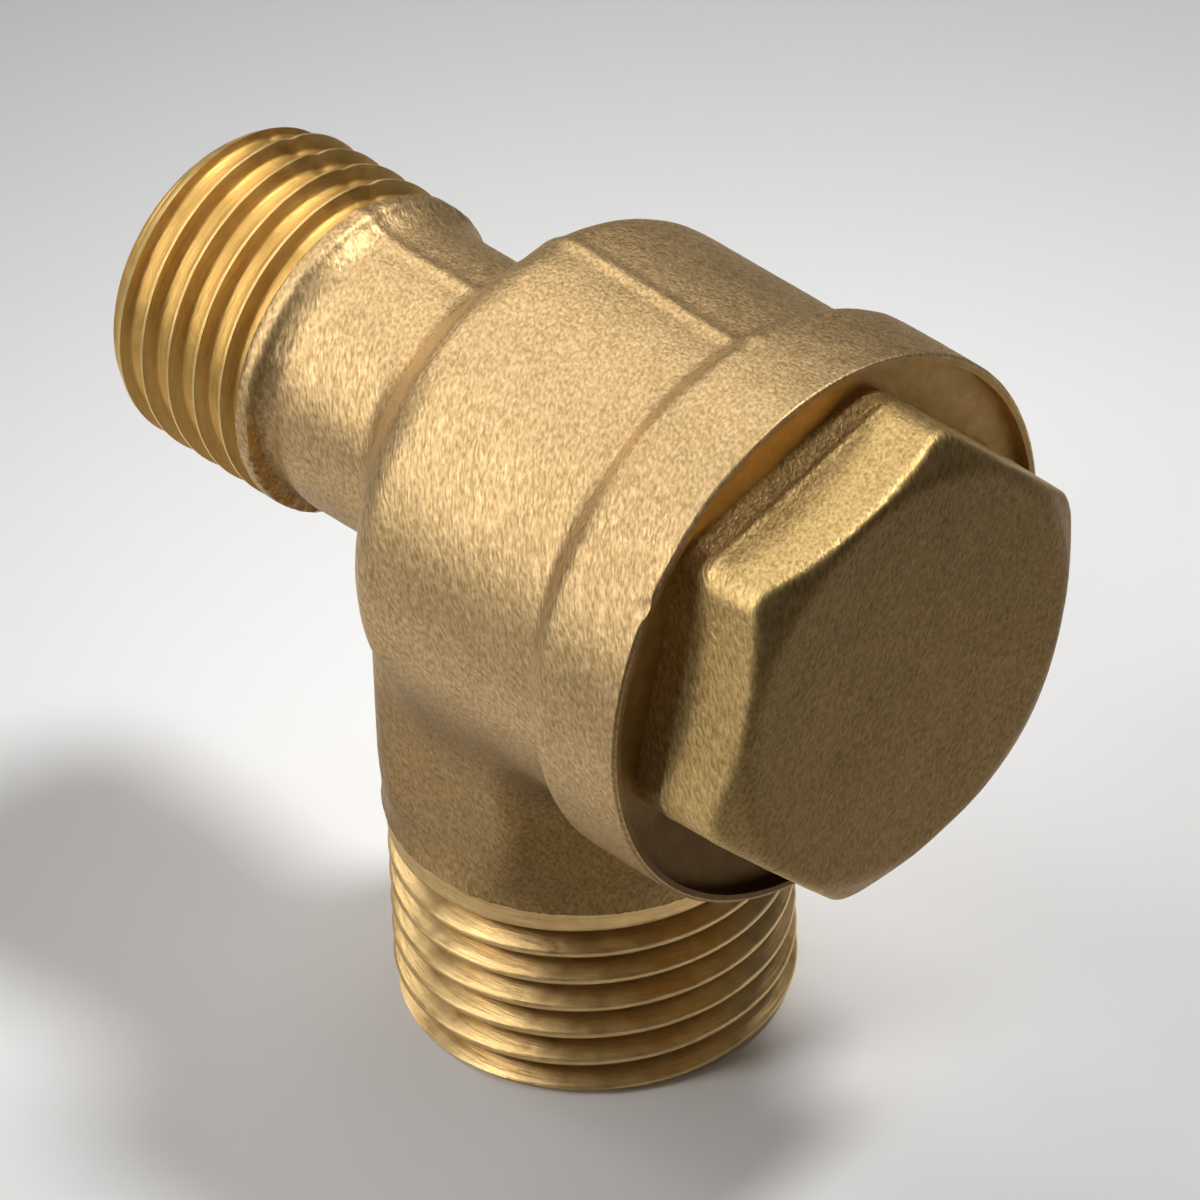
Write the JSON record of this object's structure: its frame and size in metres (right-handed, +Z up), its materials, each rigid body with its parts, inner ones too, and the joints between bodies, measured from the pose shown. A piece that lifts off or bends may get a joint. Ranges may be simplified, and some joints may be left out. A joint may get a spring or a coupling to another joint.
{
  "type": "non-return valve",
  "caption": "Forged brass angle non-return valve with a male inlet nipple, a male tank nipple and a hexagon cap over a spring-loaded poppet.",
  "frame": {"origin": "centre of the tank nipple's end face", "axes": "+Z up along the tank nipple's axis, +X along the barrel from the inlet towards the cap"},
  "size_m": [0.0507, 0.0304, 0.0474],
  "materials": {
    "forged_brass": "shot-blasted forging with machined threads",
    "turned_brass": "turned",
    "rubber": "matte",
    "spring_steel": "drawn wire"
  },
  "bodies": {
    "housing": {"body": "forged_brass", "cap": "forged_brass", "cap_seal": "rubber", "spring": "spring_steel"},
    "closure": {"poppet": "turned_brass", "seat_seal": "rubber"}
  },
  "joints": [
    {"name": "poppet_lift", "type": "slide", "parent": "housing", "child": "closure", "axis": [1, 0, 0], "range_m": [0, 0.0035], "stiffness_N_per_m": 1000, "springref_m": -0.001, "deforming": ["spring"]}
  ]
}
